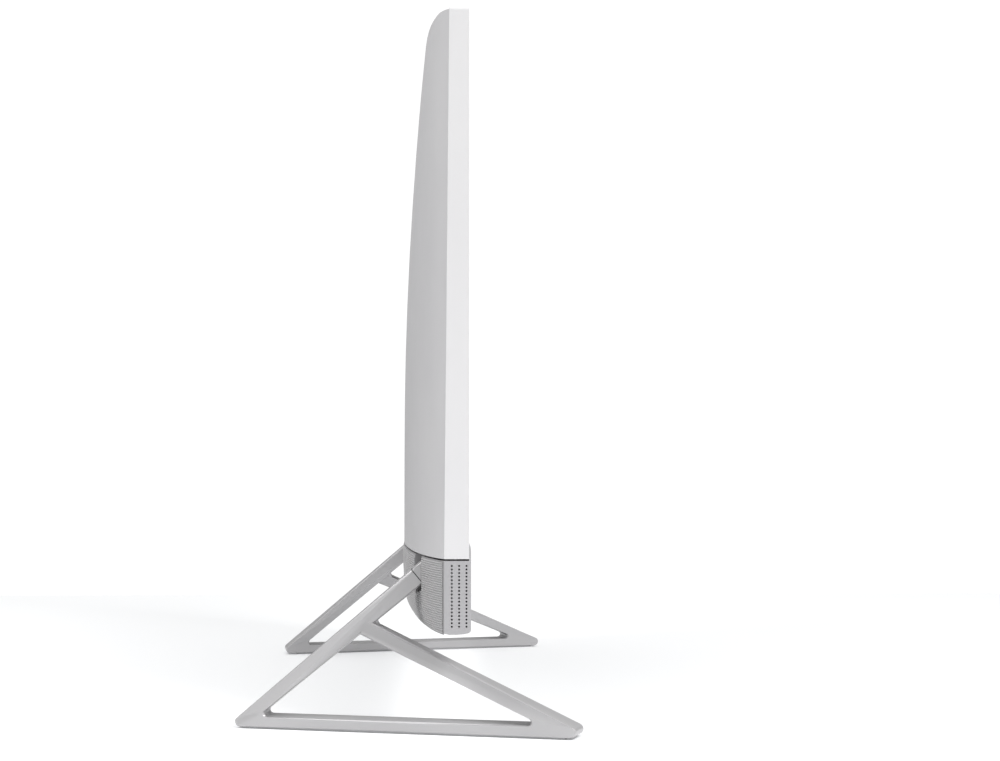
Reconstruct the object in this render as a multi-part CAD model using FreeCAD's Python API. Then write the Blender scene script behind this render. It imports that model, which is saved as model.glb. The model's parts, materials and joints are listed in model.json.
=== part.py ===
"""All-in-one desktop computer, 24 inch class, on two splayed triangular strap legs.

Millimetres, +Z up, front of the screen towards -Y, +X to the user's right.
The origin is on the desk, under the centre of the bounding box.
Each piece is a separate closed solid, written to parts/NODE.step.
"""
import FreeCAD
import Part

import math
import os

V = FreeCAD.Vector

# ---------------------------------------------------------------- driving dimensions
# body
body_width = 540.0
body_top = 402.7
body_bottom = 57.7
seam_z = 98.4             # middle of the gap between the screen part and the lower bar
seam_gap = 1.0
front_y = -33.9           # outer face of the screen glass
bezel_thick = 0.9         # white layer round the glass
rim_top = 10.9            # side wall depth at the top edge
rim_bottom = 13.6         # side wall depth at the seam and below
centre_depth_top = 24.9   # body depth in the middle, at the top edge
centre_depth = 37.6       # greatest body depth, in the middle
curve_run = 205.0         # distance over which each side curves out to the flat back
deepest_z = 158.0
cover_step = 2.3          # how far the rear cover's top lies below the frame's top
wall = 2.0
fit_gap = 0.3             # clearance between neighbouring pieces
corner_radius = 3.0

# screen
glass_thick = 1.0
module_thick = 5.6
module_border = 3.0
chassis_thick = 1.2

# lower bar
bar_lip = 1.1             # how far the grille stands in front of the glass
bar_top = 107.0
grille_wall = 1.8
hole_radius = 0.55
hole_rows = 18
hole_row_pitch = 1.947
hole_column_pitch = 4.0
hole_first_depth = 1.4    # first column of side holes, behind the glass face
hole_top_below = 2.7      # first row of side holes, below the bar's top edge
brow_step = 2.2           # how deep the port recess lies in the rear of the bar
brow_bottom = 78.0        # upper edge of the port recess

# ports and power button
port_sunk = 0.5           # port ends, behind the face of their recess
port_length = 13.0
board_thick = 1.6
button_x = 80.0
button_r = 5.0

# hinges
pivot_depth = 17.4        # hinge axis behind the glass face
pivot_z = 90.0
barrel_radius = 5.2
shaft_radius = 3.0
running_clearance = 0.05
ear_thick = 2.4
slot_margin = 1.2         # between the hinge arm and each side of its slot
slot_bottom = 78.0
slot_relief = 2.5         # between the strut and the sloped end of its slot
bracket_thick = 2.0

# legs
leg_top_x = 221.0         # outer face of the leg at the hinge arm
leg_rear_x = 214.0
leg_front_x = 270.0
leg_rear_y = 98.4
leg_front_y = -92.2
strap_width = 20.0        # across the strap
nose_radius_rear = 2.7
nose_radius_front = 3.0
strap_bevel = 0.9
foot_thick = 1.0
base_height = 6.0
strut_angle = 40.2
strut_top_y = -2.2        # upper edge of the strut at the joint with the hinge arm
strut_top_z = 89.9
strut_thick = 10.0
brace_thick = 9.1
brace_thick_foot = 6.5
hole_rear_y = 85.0        # sharp corners of the triangular opening, along the base
hole_front_y = -75.0
brace_top_y = 27.4        # where the lower edge of the brace meets the strut
brace_top_z = 53.6
brace_recess = 0.5
hole_radius_leg = 2.0
fork_radius = 2.5         # rounding between the strut and the brace
skew_rear = 2.5           # how far the inner edge leads the outer one, at the rear nose
skew_front = 5.6

# camera
camera_width = 60.0
camera_depth = 6.0

half = body_width / 2
pivot_y = front_y + pivot_depth
cover_bottom = seam_z + seam_gap / 2
bar_ceiling = seam_z - seam_gap / 2
cover_top = body_top - cover_step
module_front = front_y + glass_thick
module_back = module_front + module_thick
chassis_front = module_back
chassis_back = chassis_front + chassis_thick
back_y = front_y + centre_depth

os.makedirs("parts", exist_ok=True)


# ---------------------------------------------------------------- helpers
def box(x0, x1, y0, y1, z0, z1):
    return Part.makeBox(x1 - x0, y1 - y0, z1 - z0, V(x0, y0, z0))


def rod(radius, start, end):
    a, b = V(*start), V(*end)
    return Part.makeCylinder(radius, (b - a).Length, a, b - a)


def prism_x(points, x0, x1):
    """Extrudes a closed outline of (y, z) points along X."""
    face = Part.Face(Part.makePolygon([V(x0, y, z) for y, z in points + points[:1]]))
    return face.extrude(V(x1 - x0, 0, 0))


def rounded(solid, radius, axis):
    """Rounds the four edges of a box that run along one axis."""
    chosen = [e for e in solid.Edges if abs(e.tangentAt(e.FirstParameter).dot(V(*axis))) > 0.99]
    return solid.makeFillet(radius, chosen)


def mirrored(shape):
    return shape.mirror(V(0, 0, 0), V(1, 0, 0))


def save(name, shape):
    shape.exportStep(f"parts/{name}.step")
    solids = shape.Solids
    good = bool(solids) and all(s.isValid() and s.isClosed() and s.Volume > 0 for s in solids)
    print(f"{name:24s} solids {len(solids):3d} volume {shape.Volume / 1000:9.2f} cm3 ok {good}")


def save_pair(name, left):
    save(f"left_{name}", left)
    save(f"right_{name}", mirrored(left))


group = Part.makeCompound


# ---------------------------------------------------------------- body outline
# share of the full bulge at a distance in from the side edge, low down and at the top
CURVE_LOW = ((0, 0), (10, .16), (20, .275), (40, .46), (70, .66), (110, .83), (155, .95), (205, 1))
CURVE_TOP = ((0, 0), (10, .33), (20, .47), (40, .65), (70, .81), (110, .92), (155, .98), (205, 1))


def rim_at(z):
    share = (z - cover_bottom) / (body_top - cover_bottom)
    return rim_bottom + (rim_top - rim_bottom) * max(0.0, min(share, 1.0))


def depth_at(z):
    """Body depth in the middle: deepest below half height, slimmer to the top."""
    share = max(0.0, z - deepest_z) / (cover_top - deepest_z)
    return centre_depth + (centre_depth_top - centre_depth) * share ** 2


def plan_points(z, depth, inset=0.0):
    """Rear outline at height z, from the left edge to the flat of the back."""
    share = max(0.0, min((z - cover_bottom) / (cover_top - cover_bottom), 1.0))
    rim = rim_at(z)
    points = []
    for low, top in zip(CURVE_LOW, CURVE_TOP):
        bulge = low[1] + (top[1] - low[1]) * share
        run = low[0] * curve_run / CURVE_LOW[-1][0]
        x = -half + inset + run * (1 - inset / half)
        points.append(V(x, front_y + rim + (depth - rim) * bulge - inset, z))
    return points


def plan_wire(z, depth, inset=0.0, front=None):
    left = plan_points(z, depth, inset)
    right = [V(-p.x, p.y, p.z) for p in reversed(left)]
    curves = []
    for points in (left, right):
        curve = Part.BSplineCurve()
        curve.interpolate(points)
        curves.append(curve.toShape())
    edges = [curves[0], Part.makeLine(left[-1], right[0]), curves[1]]
    if front is None:
        edges.append(Part.makeLine(right[-1], left[0]))
    else:
        low_right, low_left = V(right[-1].x, front, z), V(left[0].x, front, z)
        edges += [Part.makeLine(right[-1], low_right), Part.makeLine(low_right, low_left),
                  Part.makeLine(low_left, left[0])]
    return Part.Wire(edges)


def rear_solid(levels, depths, inset=0.0, front=None):
    wires = [plan_wire(z, d, inset, front) for z, d in zip(levels, depths)]
    return Part.makeLoft(wires, True, False)


def back_surface(x, z, depth=None):
    """Y of the rear surface at a place on the body."""
    points = plan_points(z, depth_at(z) if depth is None else depth)
    for a, b in zip(points, points[1:]):
        if a.x <= -abs(x) <= b.x:
            return a.y + (b.y - a.y) * (-abs(x) - a.x) / (b.x - a.x)
    return points[-1].y


# ---------------------------------------------------------------- upper body shell
cover_levels = [cover_bottom, 150.0, 210.0, 270.0, 335.0, cover_top]
outer = rear_solid(cover_levels, [depth_at(z) for z in cover_levels])
inner_levels = [cover_bottom + wall] + cover_levels[1:-1] + [cover_top - wall]
inner = rear_solid(inner_levels, [depth_at(z) for z in inner_levels], inset=wall,
                   front=front_y + rim_top - 4)
back_cover = outer.cut(inner)

rim_points = [(front_y, cover_bottom), (front_y, body_top),
              (front_y + rim_at(body_top), body_top), (front_y + rim_at(cover_bottom), cover_bottom)]
frame_solid = prism_x(rim_points, -half, half)
corner_edges = [e for e in frame_solid.Edges
                if abs(e.tangentAt(e.FirstParameter).y) > 0.99 and e.CenterOfMass.z > body_top - 1]
frame_solid = frame_solid.makeFillet(corner_radius, corner_edges)
opening = box(-half + wall, half - wall, front_y - 1, module_back, cover_bottom - 1, body_top - wall)
well = box(-half + 6, half - 6, module_back - 1, 40, cover_bottom + 3, body_top - 8)
plate_way = box(-half + 6, half - 6, module_back - 1, chassis_back + fit_gap, cover_bottom - 1, body_top - 8)
middle_frame = frame_solid.cut(opening).cut(well).cut(plate_way)
front_layer = box(-half - 1, half + 1, front_y - 1, front_y + bezel_thick, cover_bottom - 1, body_top + 1)
front_bezel = middle_frame.common(front_layer)
middle_frame = middle_frame.cut(front_layer)
camera_front = front_y + rim_top + 2.0
camera_back = camera_front + camera_depth
camera_way = box(-camera_width / 2 - fit_gap, camera_width / 2 + fit_gap, camera_front - fit_gap,
                 camera_back + fit_gap, cover_top - wall - 1, cover_top + 1)
save("middle_frame", middle_frame)
save("front_bezel", front_bezel)

# ---------------------------------------------------------------- screen
glass = box(-half + wall + fit_gap, half - wall - fit_gap, front_y, module_front,
            cover_bottom, body_top - wall - fit_gap)
save("display_glass", rounded(glass, 1.0, (0, 1, 0)))
panel = box(-half + wall + module_border, half - wall - module_border, module_front, module_back - 1.6,
            cover_bottom + 1, body_top - wall - module_border)
save("lcd_panel", panel)
backlight = box(-half + wall + module_border, half - wall - module_border, module_back - 1.6, module_back,
                cover_bottom + 1, body_top - wall - module_border)
save("backlight_tray", backlight)

# ---------------------------------------------------------------- lower bar
recess_depth = centre_depth - brow_step
bar_steps = [(0, 7.1), (2.0, 4.6), (5.5, 2.3), (9.5, 1.0), (14.5, 0.3), (brow_bottom - body_bottom, 0),
             (bar_ceiling - body_bottom, 0)]   # height over the bottom, depth missing from the full one
low_outer = rear_solid([body_bottom + h for h, _ in bar_steps], [centre_depth - d for _, d in bar_steps])
cavity_steps = [(wall, 3.9), (5.5, 1.2), (9.5, 0.3), (14.5, 0.1), (brow_bottom - body_bottom, 0),
                (bar_ceiling - wall - body_bottom, 0)]
low_inner = rear_solid([body_bottom + h for h, _ in cavity_steps], [recess_depth - d for _, d in cavity_steps],
                       inset=wall, front=front_y + rim_bottom - 4)
recess_half = leg_top_x - strap_width - slot_margin - wall
recess = box(-recess_half, recess_half, front_y + recess_depth, back_y + 5, body_bottom - 1, brow_bottom)
low_shell = low_outer.cut(recess).cut(low_inner)

slot_inner = leg_top_x - strap_width - slot_margin
slot_outer = leg_top_x + slot_margin
a = math.radians(strut_angle)
along, across = (math.cos(a), -math.sin(a)), (math.sin(a), math.cos(a))
joint_top = (strut_top_y, strut_top_z)
joint_low = (strut_top_y - strut_thick * across[0], strut_top_z - strut_thick * across[1])
relief_z = joint_low[1] - slot_relief / math.cos(a)
relief_y = joint_low[0] + (relief_z - slot_bottom) / math.tan(a)
relief = [(relief_y, slot_bottom), (relief_y + 40 * along[0], slot_bottom + 40 * along[1]),
          (relief_y + 60, slot_bottom)]
for side in (-1, 1):
    x0, x1 = sorted((side * slot_inner, side * slot_outer))
    low_shell = low_shell.cut(box(x0, x1, pivot_y - 12, 60, slot_bottom, bar_ceiling + 1))
    low_shell = low_shell.cut(prism_x(relief, x0, x1))

# ports in the recess in the middle of the back
recess_y = front_y + recess_depth
port_end = recess_y - port_sunk
port_board_y = port_end - port_length
ports = [  # name, centre x, width, height, centre z
    ("dc_inlet", -62.0, 9.0, 9.0), ("hdmi_in", -42.0, 15.2, 5.6), ("hdmi_out", -21.0, 15.2, 5.6),
    ("ethernet", 3.0, 13.6, 11.6), ("usb_a", 22.5, 14.2, 6.8), ("usb_b", 40.5, 14.2, 6.8),
    ("audio", 56.0, 7.2, 7.2)]
port_centre = 71.0
for name, x, width, height in ports:
    low_shell = low_shell.cut(box(x - width / 2, x + width / 2, -6, recess_y + 10,
                                  port_centre - height / 2, port_centre + height / 2))
low_shell = low_shell.cut(rod(button_r + fit_gap, (button_x, -10, port_centre), (button_x, recess_y + 10, port_centre)))
for x, z in ((-75.0, 66.0), (69.5, 66.0), (-75.0, 77.0), (69.5, 77.0)):
    low_shell = low_shell.fuse(rod(2.2, (x, port_board_y + board_thick, z), (x, recess_y - wall + 0.3, z)))
port_window = (-71.0, 66.0, 64.0, 77.8)
seat = 0.15
x0, x1, z0, z1 = port_window
port_panel = low_shell.common(box(x0 + seat, x1 - seat, -6, recess_y + 10, z0 + seat, z1 - seat))
low_shell = low_shell.cut(box(x0, x1, -6, recess_y + 10, z0, z1))
save("port_panel", port_panel)
# pass-through in the ceiling for ribbons, and relief for the chassis plate
low_shell = low_shell.cut(box(-60, 60, front_y + rim_bottom + 2, front_y + 24, bar_ceiling - wall - 1, bar_ceiling + 1))
cover_floor_way = box(-60, 60, front_y + rim_bottom + 2, front_y + 24, cover_bottom - 1, cover_bottom + wall + 1)
back_cover = back_cover.cut(cover_floor_way).cut(camera_way)
save("back_cover", back_cover)
save("lower_rear_cover", low_shell)

# speaker grille: front, both sides, top lip and floor
lip_y = front_y - bar_lip
grille_points = [(lip_y, body_bottom + 2.6), (lip_y, bar_top - 4.0), (lip_y + 0.25, bar_top - 1.6),
                 (lip_y + 0.6, bar_top - 0.5), (front_y, bar_top),
                 (front_y, bar_ceiling), (front_y + rim_bottom, bar_ceiling),
                 (front_y + rim_bottom, body_bottom + 0.6), (front_y + rim_bottom - 3.0, body_bottom),
                 (lip_y + 8.0, body_bottom), (lip_y + 4.0, body_bottom + 0.3),
                 (lip_y + 1.4, body_bottom + 0.8), (lip_y + 0.4, body_bottom + 1.5)]
grille = prism_x(grille_points, -half, half)
hollow = box(-half + grille_wall, half - grille_wall, front_y - bar_lip + grille_wall, 20,
             body_bottom + grille_wall, bar_ceiling - 1.2)
grille = grille.cut(hollow)
top_way = box(-half + 6, half - 6, module_back - 0.4, chassis_back + fit_gap, bar_ceiling - 3, bar_ceiling + 1)
grille = grille.cut(top_way)
hole_depth = grille_wall + 2
holes = []
for side in (-1, 1):
    for column in range(3):
        for row in range(hole_rows):
            y = front_y + hole_first_depth + column * hole_column_pitch
            z = bar_ceiling - hole_top_below - row * hole_row_pitch
            x0 = side * (half - grille_wall - 1)
            holes.append(rod(hole_radius, (x0, y, z), (side * (half + 1), y, z)))
grille = grille.cut(group(holes))
save("speaker_grille", grille)

cloth = box(-half + 5, half - 5, front_y - bar_lip + grille_wall, front_y - bar_lip + grille_wall + 0.6,
            body_bottom + 4, bar_ceiling - 2.2)
save("grille_cloth", cloth)

# ---------------------------------------------------------------- chassis plate and board
plate_half = 255.0
tab_x0, tab_x1, tab_bottom = 187.0, 232.0, 66.0
plate_bottom = 88.0
board_x0, board_z0, board_side = -130.0, 112.0, 170.0
standoff = 5.0
board_front = chassis_back + standoff
board_back = board_front + board_thick
board_holes = [(board_x0 + 7 + i * (board_side - 14), board_z0 + 7 + k * (board_side - 14))
               for i in (0, 1) for k in (0, 1)]

plate = box(-plate_half, plate_half, chassis_front, chassis_back, plate_bottom, body_top - 12.7)
plate = plate.fuse([box(min(s * tab_x0, s * tab_x1), max(s * tab_x0, s * tab_x1), chassis_front, chassis_back,
                        tab_bottom, plate_bottom + 1) for s in (-1, 1)])
plate = plate.fuse([rod(3, (x, chassis_back, z), (x, board_front, z)) for x, z in board_holes])
plate = plate.cut(group([rod(1.5, (x, chassis_front - 1, z), (x, board_front + 1, z)) for x, z in board_holes]))
plate = plate.cut(group([rod(6, (x, chassis_front - 1, z), (x, chassis_back + 1, z))
                         for x in (-220, -180, 180, 220) for z in (130, 180, 230, 350)]))
hinge_holes = [(tab_x0 + 6, 69.5), (tab_x1 - 6, 69.5), (tab_x0 + 6, 76.3), (tab_x1 - 6, 76.3)]
plate = plate.cut(group([rod(2, (s * x, chassis_front - 1, z), (s * x, chassis_back + 1, z))
                         for s in (-1, 1) for x, z in hinge_holes]))
save("chassis_plate", plate)

board = box(board_x0, board_x0 + board_side, board_front, board_back, board_z0, board_z0 + board_side)
sockets = [(-116, -42, 118, 122, 5.0), (-116, -42, 156, 160, 5.0), (-1, 23, 116, 120, 4.0), (-31, -7, 121, 125, 4.0),
           (-31, 11, 112, 117, 4.5), (-120, -100, 266, 272, 6.0), (20, 34, 225, 262, 9.0)]
board = board.fuse([box(x0, x1, board_back, board_back + h, z0, z1) for x0, x1, z0, z1, h in sockets])
board = board.cut(group([rod(1.6, (x, board_front - 1, z), (x, board_back + 1, z)) for x, z in board_holes]))
save("motherboard", board)
save("board_screws", group([rod(3, (x, board_back, z), (x, board_back + 1.8, z)).fuse(
    rod(1.5, (x, board_front - 4, z), (x, board_back + 0.5, z))) for x, z in board_holes]))

cpu_x, cpu_z = -45.0, 222.0
save("processor", box(cpu_x - 18.7, cpu_x + 18.7, board_back, board_back + 4, cpu_z - 18.7, cpu_z + 18.7))
cold_y = board_back + 4
cold_plate = box(cpu_x - 22, cpu_x + 22, cold_y, cold_y + 2.5, cpu_z - 22, cpu_z + 22)
save("cold_plate", cold_plate)

pipe_r = 3.0
pipe_y = cold_y + 2.5 + pipe_r
fin_z0, fin_z1, fin_x0, fin_x1 = 268.0, 302.0, 58.0, 142.0
pipe_z = 285.0
pipe = rod(pipe_r, (cpu_x, pipe_y, cpu_z - 20), (cpu_x, pipe_y, pipe_z)).fuse(
    [rod(pipe_r, (cpu_x, pipe_y, pipe_z), (fin_x1 - 2, pipe_y, pipe_z)),
     Part.makeSphere(pipe_r, V(cpu_x, pipe_y, pipe_z))])
save("heat_pipe", pipe)
fin_y0 = chassis_back
fin_y1 = min(pipe_y + pipe_r + 0.5, back_surface(fin_x1, fin_z1) - wall - 1.0)
fins = [box(fin_x0 + i * 3.0, fin_x0 + i * 3.0 + 0.6, fin_y0, fin_y1, fin_z0, fin_z1) for i in range(28)]
stack = box(fin_x0, fin_x0 + 81.6, fin_y0, fin_y0 + 1, fin_z0, fin_z1).fuse(fins)
stack = stack.cut(rod(pipe_r, (fin_x0 - 1, pipe_y, pipe_z), (fin_x1 - 2, pipe_y, pipe_z)))
save("heatsink_fins", stack)

fan_x, fan_z, fan_half, fan_deep = 99.0, 226.0, 40.0, 15.0
housing = box(fan_x - fan_half, fan_x + fan_half, chassis_back, chassis_back + fan_deep, fan_z - fan_half, fan_z + fan_half)
housing = housing.cut(rod(fan_half - 3, (fan_x, chassis_back + 1.5, fan_z), (fan_x, chassis_back + fan_deep - 1.5, fan_z)))
housing = housing.cut(rod(24, (fan_x, chassis_back + 5, fan_z), (fan_x, chassis_back + fan_deep + 1, fan_z)))
housing = housing.cut(box(fan_x - 30, fan_x + 34, chassis_back + 1.5, chassis_back + fan_deep - 1.5,
                          fan_z + 10, fan_z + fan_half + 1))
spindle = rod(2, (fan_x, chassis_back + 1, fan_z), (fan_x, chassis_back + 8, fan_z))
save("fan_housing", housing.fuse(spindle))
fan_y0, fan_y1 = chassis_back + 2.4, chassis_back + fan_deep - 2.4
hub = rod(13, (fan_x, fan_y0, fan_z), (fan_x, fan_y1, fan_z))
ring = rod(34, (fan_x, fan_y0, fan_z), (fan_x, fan_y0 + 1, fan_z))
blades = []
for i in range(21):
    blade = box(fan_x + 12, fan_x + 34, fan_y0, fan_y1, fan_z - 0.45, fan_z + 0.45)
    blade.rotate(V(fan_x + 12, 0, fan_z), V(0, 1, 0), 18)
    blade.rotate(V(fan_x, 0, fan_z), V(0, 1, 0), i * 360 / 21)
    blades.append(blade)
impeller = hub.fuse([ring] + blades).common(rod(34.5, (fan_x, fan_y0, fan_z), (fan_x, fan_y1, fan_z)))
impeller = impeller.cut(rod(2 + running_clearance, (fan_x, fan_y0 - 1, fan_z), (fan_x, chassis_back + 8.4, fan_z)))
save("fan_impeller", impeller)

save("memory_modules", group([box(-114, -44, board_back + 1.5, board_back + 2.7, z, z + 28) for z in (122, 160)]))
save("solid_state_drive", box(0, 22, board_back + 1.5, board_back + 3.7, 120, 200))
save("wireless_card", box(-30, -8, board_back + 1.5, board_back + 3.7, 125, 155))
save("coin_cell", rod(10, (-110, board_back, 254), (-110, board_back + 3.2, 254)))
drive_x0, drive_z0 = -242.0, 250.0
caddy = box(drive_x0 - 2, drive_x0 + 102, chassis_back, chassis_back + 6, drive_z0 - 2, drive_z0 + 72)
caddy = caddy.cut(box(drive_x0, drive_x0 + 100, chassis_back + 1, chassis_back + 7, drive_z0, drive_z0 + 70))
save("drive_caddy", caddy)
save("hard_drive", rounded(box(drive_x0, drive_x0 + 100, chassis_back + 1, chassis_back + 8, drive_z0, drive_z0 + 70),
                           2, (0, 1, 0)))

# ---------------------------------------------------------------- speakers
spk_x0, spk_x1, spk_z0, spk_z1 = 75.0, 158.0, 62.0, 86.5
spk_front = front_y - bar_lip + grille_wall + 2.6
spk_z = (spk_z0 + spk_z1) / 2
spk_box = box(-spk_x1, -spk_x0, spk_front, -13, spk_z0, spk_z1)
spk_box = spk_box.cut(box(-spk_x1 + 1.6, -spk_x0 - 1.6, spk_front + 1.6, -14.6, spk_z0 + 1.6, spk_z1 - 1.6))
spk_mid = -(spk_x0 + spk_x1) / 2
spk_box = spk_box.cut(rod(9.5, (spk_mid, spk_front - 1, spk_z), (spk_mid, spk_front + 2, spk_z)))
save_pair("speaker_box", spk_box)
driver = rod(11.5, (spk_mid, spk_front - 1.4, spk_z), (spk_mid, spk_front, spk_z)).fuse(
    rod(9.4, (spk_mid, spk_front - 0.5, spk_z), (spk_mid, spk_front + 8, spk_z)))
dish = Part.makeCone(9, 3.5, 2.2, V(spk_mid, spk_front - 1.5, spk_z), V(0, 1, 0))
driver = driver.cut(dish).fuse(Part.makeSphere(3, V(spk_mid, spk_front + 1.9, spk_z)))
save_pair("speaker_driver", driver)

# ---------------------------------------------------------------- ports and power button
port_plate = box(-78, 92, port_board_y, port_board_y + board_thick, 62.5, 80)
port_plate = port_plate.fuse(box(-31, 11, port_board_y - 2.6, port_board_y, 75, 80))
save("port_board", port_plate)
bodies = {}
for name, x, width, height in ports:
    w, h = width / 2 - fit_gap, height / 2 - fit_gap
    shell = box(x - w, x + w, port_board_y + board_thick, port_end, port_centre - h, port_centre + h)
    if name == "audio":
        shell = shell.cut(rod(1.75, (x, port_end - 11, port_centre), (x, port_end + 1, port_centre)))
    elif name == "dc_inlet":
        shell = shell.cut(rod(2.8, (x, port_end - 9, port_centre), (x, port_end + 1, port_centre)))
        shell = shell.fuse(rod(0.7, (x, port_end - 9.5, port_centre), (x, port_end - 1, port_centre)))
    else:
        shell = shell.cut(box(x - w + 0.6, x + w - 0.6, port_end - 8, port_end + 1,
                              port_centre - h + 0.6, port_centre + h - 0.6))
        tongue = 0.7 if name != "ethernet" else 0
        if tongue:
            shell = shell.fuse(box(x - w + 2, x + w - 2, port_end - 8.5, port_end - 0.8,
                                   port_centre - tongue, port_centre + tongue))
    bodies[name] = shell
save("dc_inlet", bodies["dc_inlet"])
save("hdmi_ports", group([bodies["hdmi_in"], bodies["hdmi_out"]]))
save("ethernet_port", bodies["ethernet"])
save("usb_ports", group([bodies["usb_a"], bodies["usb_b"]]))
save("audio_jack", bodies["audio"])
button_back, button_z = port_end - 4.6, port_centre
button_face = port_end + 0.6
button = rod(button_r, (button_x, button_back, button_z), (button_x, button_face, button_z)).fuse(
    rod(button_r + 1.4, (button_x, button_back, button_z), (button_x, button_back + 1.3, button_z)))
button = button.makeFillet(0.4, [e for e in button.Edges
                                 if e.CenterOfMass.y > button_face - 0.1 and len(e.Vertexes) == 1])
save("power_button", button)
save("power_switch", box(button_x - 3, button_x + 3, port_board_y + board_thick, button_back - 1.2, button_z - 3, button_z + 3))
save("port_ribbon", box(-28, 8, port_board_y - 3.0, port_board_y - 2.6, 75, board_z0 + 5))

# ---------------------------------------------------------------- camera
guide_top = cover_top - wall
guide = box(-camera_width / 2 - 2, camera_width / 2 + 2, camera_front - 1.5, camera_back + 1.5, guide_top - 32, guide_top)
guide = guide.cut(box(-camera_width / 2 - fit_gap, camera_width / 2 + fit_gap, camera_front - fit_gap,
                      camera_back + fit_gap, guide_top - 30.5, guide_top + 1))
save("camera_guide", guide)
lens_z = cover_top - 6
pod = box(-camera_width / 2, camera_width / 2, camera_front, camera_back, cover_top - 28, cover_top)
pod = pod.cut(rod(3.2, (0, camera_front - 1, lens_z), (0, camera_front + 3, lens_z)))
save("camera_pod", pod)
save("camera_lens", rod(3.2, (0, camera_front + 0.3, lens_z), (0, camera_front + 3, lens_z)))

# ---------------------------------------------------------------- hinges (left side, then mirrored)
arm_out, arm_in = -leg_top_x, -leg_top_x + strap_width
bracket_top = bar_ceiling - wall - fit_gap
pivot = (pivot_y, pivot_z)
bracket = box(-tab_x1, -tab_x0, chassis_back, chassis_back + bracket_thick, tab_bottom, bracket_top)
ears = []
for x0 in (arm_out - fit_gap - ear_thick, arm_in + fit_gap):
    ears.append(box(x0, x0 + ear_thick, chassis_back + bracket_thick - 0.1, pivot_y + 3.8, 80, bracket_top))
bracket = bracket.fuse(ears)
bracket = bracket.cut(rod(shaft_radius, (arm_out - 10, pivot_y, pivot_z), (arm_in + 10, pivot_y, pivot_z)))
bracket = bracket.cut(group([rod(2, (-x, chassis_back - 1, z), (-x, chassis_back + 5, z)) for x, z in hinge_holes]))
bracket = bracket.cut(box(arm_out - 0.3, arm_in + 0.3, chassis_back + 0.8, chassis_back + 4, 80, 98))
save_pair("hinge_bracket", bracket)
save_pair("hinge_screws", group([rod(3.4, (-x, chassis_back + bracket_thick, z), (-x, chassis_back + bracket_thick + 2, z)).fuse(
    rod(2, (-x, chassis_front, z), (-x, chassis_back + bracket_thick + 0.5, z))) for x, z in hinge_holes]))
shaft_a, shaft_b = arm_out - fit_gap - ear_thick - 0.6, arm_in + fit_gap + ear_thick + 4
save_pair("hinge_shaft", rod(shaft_radius, (shaft_a, pivot_y, pivot_z), (shaft_b, pivot_y, pivot_z)).fuse(
    rod(shaft_radius + 0.6, (shaft_a, pivot_y, pivot_z), (shaft_a + 0.6, pivot_y, pivot_z))))
nut_x = arm_in + fit_gap + ear_thick
nut = Part.Face(Part.makePolygon([V(nut_x, pivot_y + 4.5 * math.cos(math.radians(60 * i + 30)),
                                    pivot_z + 4.5 * math.sin(math.radians(60 * i + 30))) for i in range(7)]))
nut = nut.extrude(V(3.0, 0, 0)).cut(rod(shaft_radius, (nut_x - 1, pivot_y, pivot_z), (nut_x + 5, pivot_y, pivot_z)))
save_pair("hinge_nut", nut)

crown = (joint_top[0] - 3.4 * along[0], joint_top[1] - 3.4 * along[1])
arm_points = [joint_top, joint_low, (pivot_y, pivot_z - barrel_radius), (pivot_y, pivot_z + barrel_radius),
              (crown[0] - 4.2, pivot_z + barrel_radius), (crown[0] - 1.6, crown[1] + 1.6), crown]
arm = prism_x(arm_points, arm_out, arm_in)
arm = arm.fuse(rod(barrel_radius, (arm_out, pivot_y, pivot_z), (arm_in, pivot_y, pivot_z)))
arm = arm.cut(rod(shaft_radius + running_clearance, (arm_out - 1, pivot_y, pivot_z), (arm_in + 1, pivot_y, pivot_z)))
save_pair("hinge_arm", arm)


# ---------------------------------------------------------------- legs
def base_x(y):
    """Outer face of the base strap, splayed outwards to the front."""
    share = (leg_rear_y - y) / (leg_rear_y - leg_front_y)
    return -(leg_rear_x + (leg_front_x - leg_rear_x) * share)


def section(outer_point, hole_point, face_x, inner):
    """Bevelled cross-section of the strap between its outer edge and its hole edge."""
    a = V(face_x(outer_point[0]), *outer_point)
    b = V(face_x(hole_point[0]), *hole_point)
    step = V(*inner)
    t = (b - a) * (strap_bevel / (b - a).Length)
    w = step * (strap_bevel / step.Length)
    points = [a + t, b - t, b + w, b + step - w, b + step - t, a + step + t, a + step - w, a + w]
    return points


def skin(sections):
    """A solid with flat faces through a run of sections."""
    faces = [Part.Face(Part.makePolygon(ring + ring[:1])) for ring in (sections[0], sections[-1])]
    for first, second in zip(sections, sections[1:]):
        for i in range(len(first)):
            k = (i + 1) % len(first)
            for tri in ((first[i], first[k], second[k]), (first[i], second[k], second[i])):
                faces.append(Part.Face(Part.makePolygon(list(tri) + [tri[0]])))
    solid = Part.Solid(Part.makeShell(faces))
    return solid if solid.Volume > 0 else solid.reversed()


def arc(centre, radius, start, end, steps):
    angles = [math.radians(start + (end - start) * i / steps) for i in range(steps + 1)]
    return [(centre[0] + radius * math.cos(t), centre[1] + radius * math.sin(t)) for t in angles]


def corner(tip_y, hole_y, outer_angle, hole_angle, outer_r, hole_r, side, steps=7):
    """Pairs of points round a nose of the triangle; side is 1 at the rear, -1 at the front."""
    def one(y, z, angle, radius):
        middle = (y - side * radius / math.tan(math.radians(angle) / 2), z + radius)
        return arc(middle, radius, 270, 450 - angle if side > 0 else 90 + angle, steps)
    return list(zip(one(tip_y, foot_thick, outer_angle, outer_r), one(hole_y, base_top, hole_angle, hole_r)))


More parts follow.
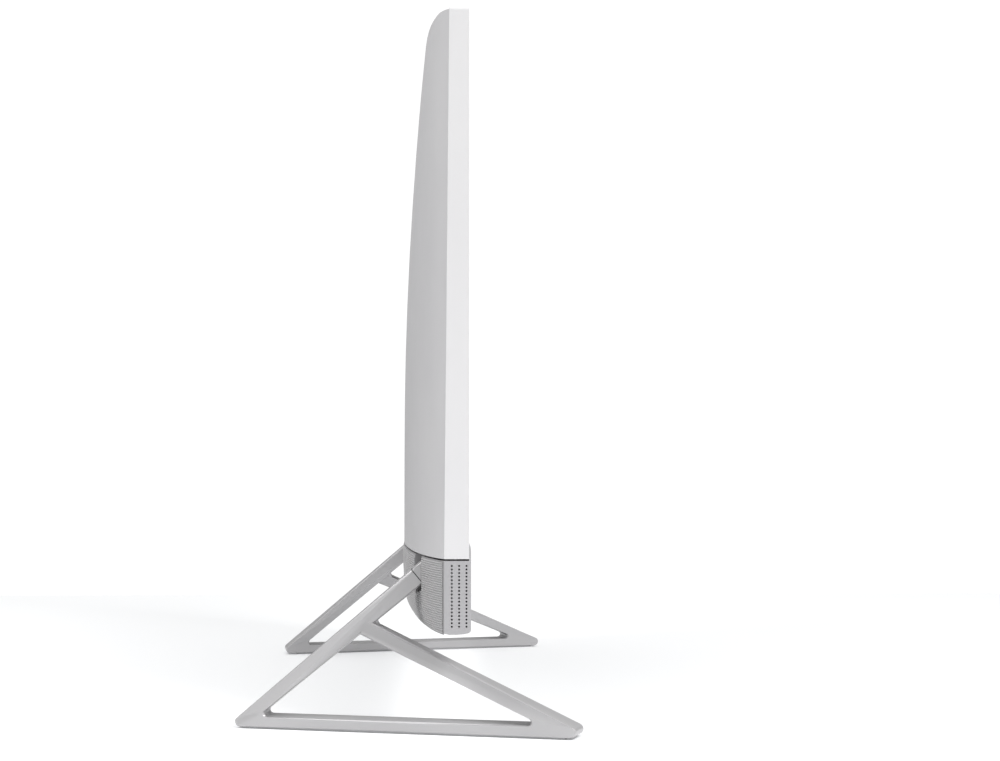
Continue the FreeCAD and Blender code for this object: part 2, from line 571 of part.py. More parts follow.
base_top = foot_thick + base_height
tip_rear_y = strut_top_y + (strut_top_z - foot_thick) / math.tan(a)
strut_low_angle = math.degrees(math.atan2(joint_low[1] - base_top, hole_rear_y - joint_low[0]))
tilt = math.atan2(brace_top_z - base_top, brace_top_y - hole_front_y)
up = (-math.sin(tilt), math.cos(tilt))
low_u = (hole_front_y + brace_thick_foot * up[0], base_top + brace_thick_foot * up[1])
high_u = (brace_top_y + brace_thick * up[0], brace_top_z + brace_thick * up[1])
upper_slope = (high_u[1] - low_u[1]) / (high_u[0] - low_u[0])
tip_front_y = low_u[0] - (low_u[1] - foot_thick) / upper_slope

rear_inner = (strap_width, -skew_rear, 0)
front_inner = (strap_width * 0.96, -skew_front, 0)
middle_inner = (strap_width * 0.98, -(skew_rear + skew_front) / 2, 0)
rear = [section(o, h, base_x, rear_inner) for o, h in
        corner(tip_rear_y, hole_rear_y, strut_angle, strut_low_angle, nose_radius_rear, hole_radius_leg, 1)]
front = [section(o, h, base_x, front_inner) for o, h in
         corner(tip_front_y, hole_front_y, math.degrees(math.atan(upper_slope)), math.degrees(tilt),
                nose_radius_front, hole_radius_leg, -1)]
joint = section(joint_top, joint_low, lambda y: arm_out, (strap_width, 0, 0))
middle = section((0, foot_thick), (0, base_top), base_x, middle_inner)

sink = 4.5
share = (brace_top_y - strut_top_y) / (tip_rear_y - strut_top_y)
brace_x = arm_out + (base_x(tip_rear_y) - arm_out) * share + brace_recess
sunk = (sink * math.cos(tilt), sink * math.sin(tilt))
buried = section((high_u[0] + sunk[0], high_u[1] + sunk[1]), (brace_top_y + sunk[0], brace_top_z + sunk[1]),
                 lambda y: brace_x, (strap_width - 2 * brace_recess, 0, 0))

strut_slope = (base_top - joint_low[1]) / (hole_rear_y - joint_low[0])
fork_y = (high_u[1] - joint_low[1] + strut_slope * joint_low[0] - upper_slope * high_u[0]) / (strut_slope - upper_slope)
fork_z = joint_low[1] + strut_slope * (fork_y - joint_low[0])
turn_up, turn_down = math.atan2(-strut_slope, -1), math.atan2(-upper_slope, -1)
half_turn = (turn_down % (2 * math.pi) - turn_up) / 2
bisector = turn_up + half_turn
reach = fork_radius / math.sin(half_turn)
fork_centre = (fork_y + reach * math.cos(bisector), fork_z + reach * math.sin(bisector))
fork_end = math.degrees(turn_down) + 90 - 360 * (turn_down > 0)
fork_arc = arc(fork_centre, fork_radius, math.degrees(turn_up) - 90, fork_end, 6)
fork_outline = ([(fork_y + 1.5, fork_z), (fork_arc[0][0] + 0.3, fork_arc[0][1] + 0.3)] + fork_arc[1:-1]
                + [(fork_arc[-1][0] + 0.3, fork_arc[-1][1] - 0.3)])
fork = prism_x(fork_outline, brace_x + strap_bevel + 0.2, brace_x + strap_width - 2 * brace_recess - strap_bevel - 0.2)

leg = skin([joint] + rear[::-1] + [middle]).fuse([skin([middle] + front + [buried]), fork]).removeSplitter()
save_pair("leg", leg)

inset = 1.5
foot_y = (leg_rear_y - 8, leg_front_y + 6)
foot_corners = [V(base_x(foot_y[0]) + inset, foot_y[0], 0), V(base_x(foot_y[1]) + inset, foot_y[1], 0),
                V(base_x(foot_y[1]) + strap_width * 0.96 - inset, foot_y[1] - skew_front, 0),
                V(base_x(foot_y[0]) + strap_width - inset, foot_y[0] - skew_rear, 0)]
foot = Part.Face(Part.makePolygon(foot_corners + foot_corners[:1])).extrude(V(0, 0, foot_thick))
save_pair("foot_pad", foot)
print("leg box", leg.BoundBox)
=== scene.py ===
import bpy
import bmesh
import json
import math
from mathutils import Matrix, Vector
from mathutils.bvhtree import BVHTree


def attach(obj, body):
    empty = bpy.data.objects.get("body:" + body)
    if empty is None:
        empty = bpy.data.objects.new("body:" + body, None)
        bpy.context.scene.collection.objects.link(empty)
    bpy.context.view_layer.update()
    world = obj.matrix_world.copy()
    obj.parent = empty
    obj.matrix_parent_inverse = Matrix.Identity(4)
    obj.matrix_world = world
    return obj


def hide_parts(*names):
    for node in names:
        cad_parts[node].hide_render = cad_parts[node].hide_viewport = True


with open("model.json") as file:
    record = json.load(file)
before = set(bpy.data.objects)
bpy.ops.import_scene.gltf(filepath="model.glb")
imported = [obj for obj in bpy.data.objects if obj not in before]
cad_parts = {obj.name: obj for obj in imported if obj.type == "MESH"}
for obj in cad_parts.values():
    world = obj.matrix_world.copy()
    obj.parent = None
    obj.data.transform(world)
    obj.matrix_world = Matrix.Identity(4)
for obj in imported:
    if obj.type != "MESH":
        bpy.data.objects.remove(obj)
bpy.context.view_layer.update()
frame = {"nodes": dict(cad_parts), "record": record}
nodes = frame["nodes"]
mm = 0.001
print("frame loaded:", len(nodes), "parts")


# shader building
class Wire:
    def __init__(self, shader, socket):
        self.shader, self.socket = shader, socket

    def __add__(self, other): return self.shader.maths("ADD", self, other)
    def __radd__(self, other): return self.shader.maths("ADD", other, self)
    def __sub__(self, other): return self.shader.maths("SUBTRACT", self, other)
    def __mul__(self, other): return self.shader.maths("MULTIPLY", self, other)
    def __lt__(self, other): return self.shader.maths("LESS_THAN", self, other)


class Shader:
    def __init__(self, name):
        self.material = bpy.data.materials.new(name)
        self.material.use_nodes = True
        self.tree = self.material.node_tree
        self.tree.nodes.clear()
        self.output = self.tree.nodes.new("ShaderNodeOutputMaterial")
        self.surface = self.add("ShaderNodeBsdfPrincipled")
        self.tree.links.new(self.surface.outputs[0], self.output.inputs["Surface"])
        self.coords = self.add("ShaderNodeTexCoord").outputs["Object"]

    def add(self, kind, settings=None, values=None):
        node = self.tree.nodes.new(kind)
        for key, value in (settings or {}).items():
            setattr(node, key, value)
        for key, value in (values or {}).items():
            self.feed(node.inputs[key], value)
        return node

    def feed(self, socket, value):
        if isinstance(value, Wire):
            self.tree.links.new(value.socket, socket)
        elif isinstance(value, bpy.types.NodeSocket):
            self.tree.links.new(value, socket)
        elif isinstance(value, tuple) and len(value) == 3 and socket.type == "RGBA":
            socket.default_value = (*value, 1)
        else:
            socket.default_value = value

    def maths(self, operation, a, b=0.0):
        node = self.add("ShaderNodeMath", {"operation": operation}, {0: a, 1: b})
        return Wire(self, node.outputs[0])

    def axes(self):
        split = self.add("ShaderNodeSeparateXYZ", None, {0: self.coords})
        return [Wire(self, split.outputs[i]) for i in range(3)]

    def noise(self, scale, detail=3.0, roughness=0.5, stretch=None, distortion=0.0):
        vector = self.coords
        if stretch:
            settings = {"Vector": self.coords, "Scale": stretch}
            vector = self.add("ShaderNodeMapping", None, settings).outputs[0]
        node = self.add("ShaderNodeTexNoise", None, {
            "Vector": vector, "Scale": scale, "Detail": detail, "Roughness": roughness,
            "Distortion": distortion})
        return Wire(self, node.outputs["Fac"])

    def cells(self, scale):
        node = self.add("ShaderNodeTexVoronoi", None, {"Vector": self.coords, "Scale": scale})
        return Wire(self, node.outputs["Distance"])

    def band(self, value, low, high, outLow=0.0, outHigh=1.0):
        node = self.add("ShaderNodeMapRange", None, {
            "Value": value, "From Min": low, "From Max": high, "To Min": outLow, "To Max": outHigh})
        return Wire(self, node.outputs[0])

    def blend(self, factor, first, second):
        node = self.add("ShaderNodeMix", {"data_type": "RGBA"}, {0: factor, 6: first, 7: second})
        return Wire(self, node.outputs[2])

    def bump(self, height, distance, strength=1.0, under=None):
        values = {"Height": height, "Distance": distance, "Strength": strength}
        if under:
            values["Normal"] = under
        return Wire(self, self.add("ShaderNodeBump", None, values).outputs[0])

    def finish(self, **values):
        for key, value in values.items():
            self.feed(self.surface.inputs[key.replace("_", " ")], value)
        return self.material


# satin paint on shells, legs and bar
paintLooks = {
    "shell": dict(colour=(0.55, 0.545, 0.552), tint=(0.525, 0.52, 0.53), rough=0.42, peel=0.010),
    "frame": dict(colour=(0.66, 0.655, 0.66), tint=(0.635, 0.63, 0.64), rough=0.36, peel=0.008),
    "grille": dict(colour=(0.38, 0.375, 0.385), tint=(0.36, 0.355, 0.365), rough=0.46, peel=0.010),
    "leg": dict(colour=(0.46, 0.455, 0.46), tint=(0.445, 0.44, 0.447), rough=0.36, peel=0.0012,
                metal=0.35),
    "ribbed": dict(colour=(0.43, 0.425, 0.43), tint=(0.41, 0.405, 0.41), rough=0.5, peel=0.004),
    # a darker copy of the rib paint: painted shade for the valleys between the ribs
    "ribValleyShade": dict(colour=(0.27, 0.265, 0.27), tint=(0.255, 0.25, 0.255), rough=0.55, peel=0.004),
    "button": dict(colour=(0.60, 0.60, 0.61), tint=(0.56, 0.56, 0.57), rough=0.35, peel=0.006),
}
paintGrain = {"flake": 2600.0, "flakeShare": 0.28, "flakeShade": 0.90, "cloud": 9.0, "grain": 1400.0,
              "grainBump": 0.004, "rub": 60.0, "rubSquash": 0.4, "rubSwing": 0.12, "grainSwing": 0.08,
              "peel": 420.0, "coat": 0.08, "coatRough": 0.25}


def satinPaint(name, look):
    g = paintGrain
    s = Shader(name)
    flake = s.cells(g["flake"])
    cloud = s.noise(g["cloud"], 2.0)
    grain = s.noise(g["grain"], 2.0, 0.6)
    shade = s.blend(s.band(cloud, 0.35, 0.65), look["colour"], look["tint"])
    dark = tuple(c * g["flakeShade"] for c in look["tint"])
    shade = s.blend(s.band(flake, 0.0, 0.35, g["flakeShare"], 0.0), shade, dark)
    rub = s.noise(g["rub"], 4.0, 0.55, stretch=(1.0, 1.0, g["rubSquash"]))
    rough = look["rough"] + (rub - 0.5) * g["rubSwing"] + (grain - 0.5) * g["grainSwing"]
    peel = s.bump(s.noise(g["peel"], 2.0), look["peel"] * mm, 0.6)
    fine = s.bump(grain, g["grainBump"] * mm, 0.5, under=peel)
    return s.finish(Base_Color=shade, Roughness=rough, Metallic=look.get("metal", 0.0), Normal=fine,
                    Coat_Weight=g["coat"], Coat_Roughness=g["coatRough"])


rubberLook = {"grain": 1800.0, "dust": 35.0, "dustShare": 0.6, "rough": 0.78, "bump": 0.02}


def castRubber(name, colour):
    s = Shader(name)
    grain = s.noise(rubberLook["grain"], 3.0, 0.7)
    dust = s.noise(rubberLook["dust"], 4.0)
    light = tuple(min(1.0, c * 1.25 + 0.02) for c in colour)
    shade = s.blend(s.band(dust, 0.45, 0.75, 0.0, rubberLook["dustShare"]), colour, light)
    return s.finish(Base_Color=shade, Roughness=rubberLook["rough"] + (grain - 0.5) * 0.2,
                    Normal=s.bump(grain, rubberLook["bump"] * mm, 0.7))


glassLook = {"halfWidth": 0.2635, "halfHeight": 0.1465, "centre": 0.2535,
             "border": (0.006, 0.006, 0.007), "active": (0.017, 0.018, 0.021),
             "rough": 0.06, "smear": 14.0, "smearRough": 0.10, "coat": 0.6, "coatRough": 0.03}


def darkGlass(name):
    s = Shader(name)
    x, _, z = s.axes()
    inX = s.maths("ABSOLUTE", x) < glassLook["halfWidth"]
    inZ = s.maths("ABSOLUTE", z - glassLook["centre"]) < glassLook["halfHeight"]
    active = inX * inZ
    smear = s.noise(glassLook["smear"], 5.0, 0.6, stretch=(1.0, 1.0, 0.35), distortion=0.6)
    shade = s.blend(active, glassLook["border"], glassLook["active"])
    rough = glassLook["rough"] + s.band(smear, 0.45, 0.75, 0.0, glassLook["smearRough"])
    return s.finish(Base_Color=shade, Roughness=rough, Coat_Weight=glassLook["coat"],
                    Coat_Roughness=glassLook["coatRough"])


metalLook = {"lines": 160.0, "brushed": (1.0, 1.0, 40.0), "stain": 22.0, "stainShade": 0.72,
             "stainShare": 0.55, "swing": 0.25, "bump": 0.003}


def worked(name, colour, rough):
    s = Shader(name)
    lines = s.noise(metalLook["lines"], 4.0, 0.7, stretch=metalLook["brushed"])
    stain = s.noise(metalLook["stain"], 4.0, 0.6)
    darker = tuple(c * metalLook["stainShade"] for c in colour)
    shade = s.blend(s.band(stain, 0.4, 0.75, 0.0, metalLook["stainShare"]), colour, darker)
    return s.finish(Base_Color=shade, Metallic=1.0, Roughness=rough + (lines - 0.5) * metalLook["swing"],
                    Normal=s.bump(lines, metalLook["bump"] * mm, 0.6))


mouldLook = {"spark": 700.0, "haze": 30.0, "hazeShare": 0.5, "swing": 0.15, "bump": 0.03}


def moulded(name, colour, rough=0.55):
    s = Shader(name)
    spots = s.cells(mouldLook["spark"])
    haze = s.noise(mouldLook["haze"], 3.0)
    lighter = tuple(min(1.0, c * 1.5 + 0.012) for c in colour)
    shade = s.blend(s.band(haze, 0.4, 0.7, 0.0, mouldLook["hazeShare"]), colour, lighter)
    return s.finish(Base_Color=shade, Roughness=rough + (haze - 0.5) * mouldLook["swing"],
                    Normal=s.bump(spots, mouldLook["bump"] * mm, 0.5))


boardLook = {"mask": (0.012, 0.085, 0.045), "track": (0.03, 0.19, 0.10), "via": (0.55, 0.42, 0.16),
             "viaScale": 420.0, "viaSize": 0.16, "rough": 0.38, "coat": 0.3, "bump": 0.03}
trackGrid = {"Scale": 90.0, "Mortar Size": 0.035, "Brick Width": 0.9, "Row Height": 0.32}


def circuitBoard(name):
    s = Shader(name)
    x, _, z = s.axes()
    flat = s.add("ShaderNodeCombineXYZ", None, {0: x, 1: z, 2: 0.0}).outputs[0]
    node = s.add("ShaderNodeTexBrick", None, {"Vector": flat, **trackGrid})
    tracks = Wire(s, node.outputs["Fac"])
    vias = s.cells(boardLook["viaScale"]) < boardLook["viaSize"]
    shade = s.blend(tracks * 0.7, boardLook["mask"], boardLook["track"])
    shade = s.blend(vias, shade, boardLook["via"])
    return s.finish(Base_Color=shade, Roughness=boardLook["rough"] + tracks * 0.12,
                    Coat_Weight=boardLook["coat"], Normal=s.bump(tracks, boardLook["bump"] * mm, 0.5))


clothLook = {"thread": 0.5, "gap": (0.006, 0.006, 0.007), "yarn": (0.035, 0.035, 0.037),
             "fuzz": 900.0, "rough": 0.9, "bump": 0.1}


def speakerCloth(name):
    s = Shader(name)
    x, _, z = s.axes()
    turns = 2 * math.pi / (clothLook["thread"] * mm)
    warp = s.maths("SINE", x * turns)
    weft = s.maths("SINE", z * turns)
    weave = warp * weft * 0.5 + 0.5
    fuzz = s.noise(clothLook["fuzz"], 3.0, 0.7)
    shade = s.blend(weave, clothLook["gap"], clothLook["yarn"])
    return s.finish(Base_Color=shade, Roughness=clothLook["rough"] + (fuzz - 0.5) * 0.1,
                    Normal=s.bump(weave + fuzz * 0.3, clothLook["bump"] * mm, 0.8))


# one finish for each slot of the record, and two for the ribs; the second, a darker copy of the rib
# paint, is painted shade for the valleys between the ribs
finishes = {
    "shell_white": satinPaint("satinShell", paintLooks["shell"]),
    "frame_white": satinPaint("satinFrame", paintLooks["frame"]),
    "ribbed": satinPaint("satinRibs", paintLooks["ribbed"]),
    "ribValleyShade": satinPaint("satinValleyShade", paintLooks["ribValleyShade"]),
    "grille_white": satinPaint("satinGrille", paintLooks["grille"]),
    "leg_silver": satinPaint("silverLeg", paintLooks["leg"]),
    "button_white": satinPaint("buttonCap", paintLooks["button"]),
    "rubber_pale": castRubber("paleRubber", (0.42, 0.42, 0.43)),
    "screen_glass": darkGlass("coverGlass"),
    "panel_black": moulded("panelFilm", (0.012, 0.012, 0.013), 0.35),
    "steel": worked("zincSteel", (0.55, 0.56, 0.57), 0.38),
    "black_plastic": moulded("blackMoulding", (0.018, 0.018, 0.019)),
    "cloth": speakerCloth("speakerCloth"),
    "board_green": circuitBoard("solderMask"),
    "copper": worked("rawCopper", (0.86, 0.42, 0.26), 0.28),
    "aluminium_raw": worked("millAluminium", (0.74, 0.75, 0.76), 0.34),
    "nickel": worked("nickelPlate", (0.66, 0.65, 0.62), 0.22),
    "lens": moulded("lensGlass", (0.008, 0.008, 0.02), 0.05),
}
for entry in frame["record"]["subparts"]:
    mesh = nodes[entry["node"]].data
    mesh.materials.clear()
    # the ribbed cover under the ribs takes the darker copy, painted shade in the valleys between them
    ribbedNode = entry["node"] == "lower_rear_cover"
    mesh.materials.append(finishes["ribValleyShade" if ribbedNode else entry["material_slot"]])
print("finishes on all parts")


def newPiece(name, mesh, body, material=None):
    piece = bpy.data.objects.new(name, mesh)
    bpy.context.scene.collection.objects.link(piece)
    if material:
        mesh.materials.clear()
        mesh.materials.append(material)
    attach(piece, body)
    return piece


def nodeTree(name, inputs):
    tree = bpy.data.node_groups.new(name, "GeometryNodeTree")
    tree.interface.new_socket("Geometry", in_out="INPUT", socket_type="NodeSocketGeometry")
    for label, (kind, value) in inputs.items():
        item = tree.interface.new_socket(label, in_out="INPUT", socket_type=kind)
        if value is not None:
            item.default_value = value
    tree.interface.new_socket("Geometry", in_out="OUTPUT", socket_type="NodeSocketGeometry")
    return tree, tree.nodes.new("NodeGroupInput"), tree.nodes.new("NodeGroupOutput")


def runTree(source, tree, values, name):
    modifier = source.modifiers.new("grow", "NODES")
    modifier.node_group = tree
    for item in tree.interface.items_tree:
        if item.in_out == "INPUT" and item.name in values:
            modifier[item.identifier] = values[item.name]
    bpy.context.view_layer.update()
    grown = source.evaluated_get(bpy.context.evaluated_depsgraph_get())
    mesh = bpy.data.meshes.new_from_object(grown)
    mesh.name = name
    bpy.data.objects.remove(source)
    return mesh


# ribs across the lower rear cover
ribs = {"pitch": 1.26, "radius": 0.5, "sides": 6, "lowest": 58.8, "highest": 97.4, "step": 2.5,
        "sink": 0.16, "halfWidth": 268.0, "start": 60, "jump": 2.2, "facing": 0.25}


def ribTree():
    tree, inward, outward = nodeTree("ribSweep", {"Rib radius": ("NodeSocketFloat", 0.0004),
                                                  "Sides": ("NodeSocketInt", 6),
                                                  "Finish": ("NodeSocketMaterial", None)})
    link = tree.links.new
    profile = tree.nodes.new("GeometryNodeCurvePrimitiveCircle")
    sweep = tree.nodes.new("GeometryNodeCurveToMesh")
    realize = tree.nodes.new("GeometryNodeRealizeInstances")
    paint = tree.nodes.new("GeometryNodeSetMaterial")
    link(inward.outputs["Rib radius"], profile.inputs["Radius"])
    link(inward.outputs["Sides"], profile.inputs["Resolution"])
    link(inward.outputs["Geometry"], sweep.inputs["Curve"])
    link(profile.outputs["Curve"], sweep.inputs["Profile Curve"])
    link(sweep.outputs["Mesh"], realize.inputs[0])
    link(realize.outputs[0], paint.inputs["Geometry"])
    link(inward.outputs["Finish"], paint.inputs["Material"])
    link(paint.outputs[0], outward.inputs[0])
    return tree


def surfaceOf(node):
    mesh = nodes[node].data
    corners = [v.co for v in mesh.vertices]
    return BVHTree.FromPolygons(corners, [tuple(p.vertices) for p in mesh.polygons])


def ribRuns():
    surface = surfaceOf("lower_rear_cover")
    runs, z = [], ribs["lowest"]
    columns = int(2 * ribs["halfWidth"] / ribs["step"])
    while z <= ribs["highest"]:
        run = []
        for i in range(columns + 1):
            x = -ribs["halfWidth"] + i * 2 * ribs["halfWidth"] / columns
            start = Vector((x, ribs["start"], z)) * mm
            hit, normal, _, _ = surface.ray_cast(start, Vector((0, -1, 0)))
            level = hit is not None and (not run or abs(hit.y - run[-1].y) < ribs["jump"] * mm)
            good = level and normal.y > ribs["facing"]
            if good:
                run.append(hit - normal * ribs["sink"] * mm)
            if (not good or i == columns) and run:
                if len(run) > 2:
                    runs.append(run)
                run = []
        z += ribs["pitch"]
    return runs


curve = bpy.data.curves.new("ribPath", "CURVE")
curve.dimensions = "3D"
for run in ribRuns():
    spline = curve.splines.new("POLY")
    spline.points.add(len(run) - 1)
    for point, place in zip(spline.points, run):
        point.co = (*place, 1)
source = bpy.data.objects.new("ribPath", curve)
bpy.context.scene.collection.objects.link(source)
ribMesh = runTree(source, ribTree(), {
    "Rib radius": ribs["radius"] * mm, "Sides": ribs["sides"],
    "Finish": finishes["ribbed"]}, "coverRibs")
ribMesh.shade_smooth()
newPiece("coverRibs", ribMesh, "display", finishes["ribbed"])
print("ribs", len(ribMesh.polygons))

# legs and hinge arms again, with softened edges
softCut = {"weld": 0.004, "flat": 1.5, "sharp": 24, "crease": 38, "segments": 2, "profile": 0.6,
           "weight": 100}
softEdges = {"left_leg": 0.35, "right_leg": 0.35, "left_hinge_arm": 0.6, "right_hinge_arm": 0.6}


def softened(node, width, body, material):
    bm = bmesh.new()
    bm.from_mesh(nodes[node].data)
    bmesh.ops.remove_doubles(bm, verts=bm.verts, dist=softCut["weld"] * mm)
    bmesh.ops.dissolve_limit(bm, angle_limit=math.radians(softCut["flat"]), verts=bm.verts,
                             edges=bm.edges)
    limit = math.radians(softCut["sharp"])
    sharp = [e for e in bm.edges if len(e.link_faces) == 2 and e.calc_face_angle(0) > limit]
    bmesh.ops.bevel(bm, geom=sharp, offset=width * mm, segments=softCut["segments"],
                    profile=softCut["profile"], affect="EDGES", clamp_overlap=True)
    bmesh.ops.triangulate(bm, faces=bm.faces)
    mesh = bpy.data.meshes.new(node + "Soft")
    bm.to_mesh(mesh)
    bm.free()
    mesh.shade_smooth()
    mesh.set_sharp_from_angle(angle=math.radians(softCut["crease"]))
    source = bpy.data.objects.new(node + "Soft", mesh)
    bpy.context.scene.collection.objects.link(source)
    even = source.modifiers.new("even", "WEIGHTED_NORMAL")
    even.weight = softCut["weight"]
    even.keep_sharp = True
    bpy.context.view_layer.update()
    grown = source.evaluated_get(bpy.context.evaluated_depsgraph_get())
    mesh = bpy.data.meshes.new_from_object(grown)
    bpy.data.objects.remove(source)
    piece = newPiece(node + "Soft", mesh, body, material)
    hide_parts(node)


slots = {entry["node"]: entry["material_slot"] for entry in frame["record"]["subparts"]}
for node, width in softEdges.items():
    body = "right_leg" if node.startswith("right") else "left_leg"
    softened(node, width, body, finishes[slots[node]])
print("softened copies")

# dark strip of painted shadow in the gap between each strut and its hinge arm
joint = {"top": (-2.2, 89.9), "low": (-8.655, 82.262), "outer": 221.0, "inner": 201.0,
         "thick": 0.45, "proud": 0.06, "bevel": 0.75}


# builds the thin dark strip of painted shadow at the joint between strut and arm
def shadowGapStrip(side):
    top, low = Vector((0, *joint["top"])), Vector((0, *joint["low"]))
    along = (top - low).normalized()
    normal = Vector((0, along.z, -along.y))
    out, grow, cut = joint["proud"], joint["outer"], joint["bevel"]
    ring = []
    for end, way in ((top, 1), (low, -1)):
        for x, inset in ((grow + out, cut), (grow + out - cut, 0)):
            ring.append((x, end + along * way * (out - inset)))
    ring = [ring[1], ring[0], ring[2], ring[3]]
    near = [Vector((x, p.y, p.z)) for x, p in ring]
    middle = (joint["outer"] + joint["inner"]) / 2
    far = [Vector((2 * middle - p.x, p.y, p.z)) for p in reversed(near)]
    outline = near + far
    bm = bmesh.new()
    loops = []
    for push in (-joint["thick"] / 2, joint["thick"] / 2):
        corners = [Vector((side * p.x, p.y, p.z)) + normal * push for p in outline]
        loops.append([bm.verts.new(corner * mm) for corner in corners])
    count = len(outline)
    for i in range(count):
        k = (i + 1) % count
        bm.faces.new((loops[0][i], loops[0][k], loops[1][k], loops[1][i]))
    bm.faces.new(loops[0])
    bm.faces.new(list(reversed(loops[1])))
    bmesh.ops.recalc_face_normals(bm, faces=bm.faces)
    mesh = bpy.data.meshes.new("shadowGapStrip")
    bm.to_mesh(mesh)
    bm.free()
    return mesh


# one dark strip on each leg, painted shadow of the gap at the joint
for side, name in ((-1, "left"), (1, "right")):
    newPiece(name + "JointLine", shadowGapStrip(side), name + "_leg",
             finishes["black_plastic"])


# round dark discs laid out on a surface, standing for holes whose darkness is painted in
def dotTree():
    tree, inward, outward = nodeTree("dotPattern", {"Dot radius": ("NodeSocketFloat", 0.0005),
                                                    "Dot depth": ("NodeSocketFloat", 0.0002),
                                                    "Sides": ("NodeSocketInt", 8),
                                                    "Finish": ("NodeSocketMaterial", None)})
    link = tree.links.new
    dot = tree.nodes.new("GeometryNodeMeshCylinder")
    facing = tree.nodes.new("GeometryNodeInputNamedAttribute")
    facing.data_type = "FLOAT_VECTOR"
    facing.inputs["Name"].default_value = "facing"
    turn = tree.nodes.new("FunctionNodeAlignRotationToVector")
    spread = tree.nodes.new("GeometryNodeInstanceOnPoints")
    realize = tree.nodes.new("GeometryNodeRealizeInstances")
    paint = tree.nodes.new("GeometryNodeSetMaterial")
    link(inward.outputs["Dot radius"], dot.inputs["Radius"])
    link(inward.outputs["Dot depth"], dot.inputs["Depth"])
    link(inward.outputs["Sides"], dot.inputs["Vertices"])
    link(facing.outputs["Attribute"], turn.inputs["Vector"])
    link(inward.outputs["Geometry"], spread.inputs["Points"])
    link(dot.outputs["Mesh"], spread.inputs["Instance"])
    link(turn.outputs[0], spread.inputs["Rotation"])
    link(spread.outputs[0], realize.inputs[0])
    link(realize.outputs[0], paint.inputs["Geometry"])
    link(inward.outputs["Finish"], paint.inputs["Material"])
    link(paint.outputs[0], outward.inputs[0])
    return tree


def dots(name, places, radius, depth, sides, body, material):
    mesh = bpy.data.meshes.new(name + "Points")
    mesh.from_pydata([p for p, _ in places], [], [])
    facing = mesh.attributes.new("facing", "FLOAT_VECTOR", "POINT")
    facing.data.foreach_set("vector", [c for _, n in places for c in n])
    source = bpy.data.objects.new(name + "Points", mesh)
    bpy.context.scene.collection.objects.link(source)
    grown = runTree(source, dotTree(), {
        "Dot radius": radius * mm, "Dot depth": depth * mm, "Sides": sides, "Finish": material}, name)
    newPiece(name, grown, body, material)


def centred(count, pitch):
    return [(i - (count - 1) / 2) * pitch for i in range(count)]


def surfacePlaces(node, across, up, way, origin):
    surface = surfaceOf(node)
    places = []
    for x, z in ((x, z) for z in up for x in across):
        hit, normal, _, _ = surface.ray_cast(Vector((x, origin, z)) * mm, Vector((0, way, 0)))
        if hit is not None:
            places.append((hit, normal))
    return places


# dark cloth-coloured discs in the front of the bar standing for the sound holes: the cloth behind the
# holes is really dark, and the rest of their darkness is painted shade of the holes' depth
soundHoles = {"pitch": (4.0, 1.947), "columns": 133, "rows": 18, "top": 95.2, "radius": 0.55,
              "depth": 0.04, "sides": 8, "start": -60}
across = centred(soundHoles["columns"], soundHoles["pitch"][0])
up = [soundHoles["top"] - i * soundHoles["pitch"][1] for i in range(soundHoles["rows"])]
dots("frontHoles", surfacePlaces("speaker_grille", across, up, 1, soundHoles["start"]),
     soundHoles["radius"], soundHoles["depth"], soundHoles["sides"], "display",
     finishes["cloth"])

# dark discs high on the rear cover standing for warm air holes, their darkness painted shade of the
# holes' insides; every other row shifted by half a pitch
airHoles = {"pitch": (5.2, 5.2), "columns": 41, "rows": 5, "lowest": 336.0, "radius": 1.5,
            "depth": 0.06, "sides": 12, "start": 60}
places = []
for row in range(airHoles["rows"]):
    shift = airHoles["pitch"][0] / 2 * (row % 2)
    line = [x + shift for x in centred(airHoles["columns"], airHoles["pitch"][0])]
    height = airHoles["lowest"] + row * airHoles["pitch"][1]
    places += surfacePlaces("back_cover", line, [height], -1, airHoles["start"])
# black discs, painted shade in place of open vent holes
dots("airHoles", places, airHoles["radius"], airHoles["depth"], airHoles["sides"], "display",
     finishes["black_plastic"])
print("hole patterns", len(places))

# camera
viewLook = {"lens": 78.1, "sensor": 36.0, "reach": 50, "yaw": -1.86, "pitch": 1.37,
            "place": (-1.455, -0.0123, 0.168)}
camera = bpy.data.cameras.new("sideView")
camera.lens = viewLook["lens"]
camera.sensor_width = viewLook["sensor"]
camera.clip_end = viewLook["reach"]
viewer = bpy.data.objects.new("sideView", camera)
bpy.context.scene.collection.objects.link(viewer)
yaw, pitch = math.radians(viewLook["yaw"]), math.radians(viewLook["pitch"])
look = Vector((math.cos(pitch) * math.cos(yaw), math.cos(pitch) * math.sin(yaw), math.sin(pitch)))
viewer.location = viewLook["place"]
viewer.rotation_euler = look.to_track_quat("-Z", "Y").to_euler()
bpy.context.scene.camera = viewer

# floor
floorLook = {"colour": (0.80, 0.805, 0.81), "rough": 0.9, "glow": 0.16,
             "glowColour": (0.97, 0.985, 1.0), "half": 0.8, "cells": 4}
bm = bmesh.new()
bmesh.ops.create_grid(bm, x_segments=floorLook["cells"], y_segments=floorLook["cells"],
                      size=floorLook["half"])
floorMesh = bpy.data.meshes.new("floor")
bm.to_mesh(floorMesh)
bm.free()
floor = bpy.data.objects.new("floor", floorMesh)
bpy.context.scene.collection.objects.link(floor)
s = Shader("paleFloor")
floorMesh.materials.append(s.finish(
    Base_Color=floorLook["colour"], Roughness=floorLook["rough"],
    Emission_Color=floorLook["glowColour"], Emission_Strength=floorLook["glow"]))

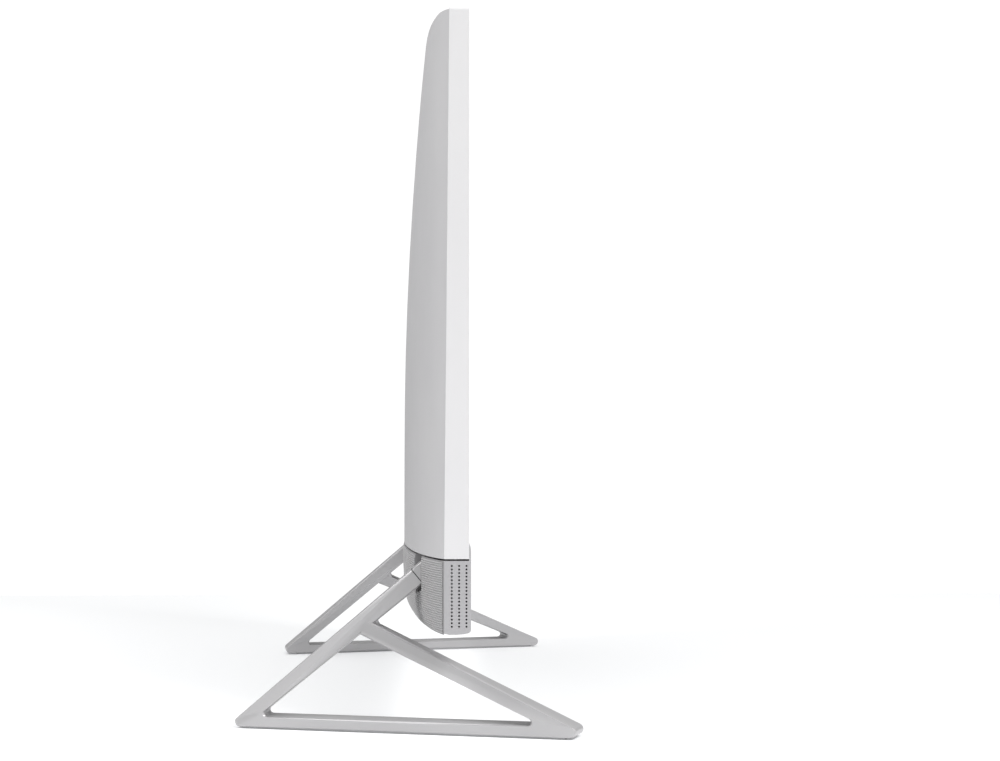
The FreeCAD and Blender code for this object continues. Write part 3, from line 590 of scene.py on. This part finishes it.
# sky that is dim low down and bright overhead, with an even backdrop for the camera
skyLook = {"low": -0.1, "high": 0.9, "horizon": 0.12, "zenith": 1.0, "backdrop": 1.05}
world = bpy.data.worlds.new("studio")
bpy.context.scene.world = world
world.use_nodes = True
sky = world.node_tree
background = sky.nodes["Background"]
seen = sky.nodes.new("ShaderNodeLightPath")
heights = sky.nodes.new("ShaderNodeSeparateXYZ")
rise = sky.nodes.new("ShaderNodeMapRange")
rise.inputs["From Min"].default_value = skyLook["low"]
rise.inputs["From Max"].default_value = skyLook["high"]
rise.inputs["To Min"].default_value = skyLook["horizon"]
rise.inputs["To Max"].default_value = skyLook["zenith"]
level = sky.nodes.new("ShaderNodeMix")
level.inputs["B"].default_value = skyLook["backdrop"]
sky.links.new(sky.nodes.new("ShaderNodeTexCoord").outputs["Generated"], heights.inputs[0])
sky.links.new(heights.outputs["Z"], rise.inputs["Value"])
sky.links.new(rise.outputs[0], level.inputs["A"])
sky.links.new(seen.outputs["Is Camera Ray"], level.inputs["Factor"])
sky.links.new(level.outputs[0], background.inputs["Strength"])
background.inputs["Color"].default_value = (1, 1, 1, 1)


# lamps
lamps = {
    "keyLight": dict(place=(-1.0, -0.80, 1.25), target=(-0.2, 0, 0.25), size=(0.6, 0.6), power=18.5),
    "frontPanel": dict(place=(-2.3, 0.0, 0.50), target=(0, 0, 0.12), size=(1.0, 0.9), power=3.0),
    "rearLight": dict(place=(-0.35, 0.7, 1.05), target=(-0.05, 0, 0.38), size=(0.5, 0.3), power=6.0),
}
for name, look in lamps.items():
    light = bpy.data.lights.new(name, "AREA")
    light.shape = "RECTANGLE"
    light.size, light.size_y = look["size"]
    light.energy = look["power"]
    lamp = bpy.data.objects.new(name, light)
    lamp.location = look["place"]
    away = Vector(look["target"]) - Vector(look["place"])
    lamp.rotation_euler = away.to_track_quat("-Z", "Y").to_euler()
    bpy.context.scene.collection.objects.link(lamp)

bpy.context.scene.view_settings.view_transform = "Standard"
bpy.context.scene.view_settings.look = "None"
print("stage set")
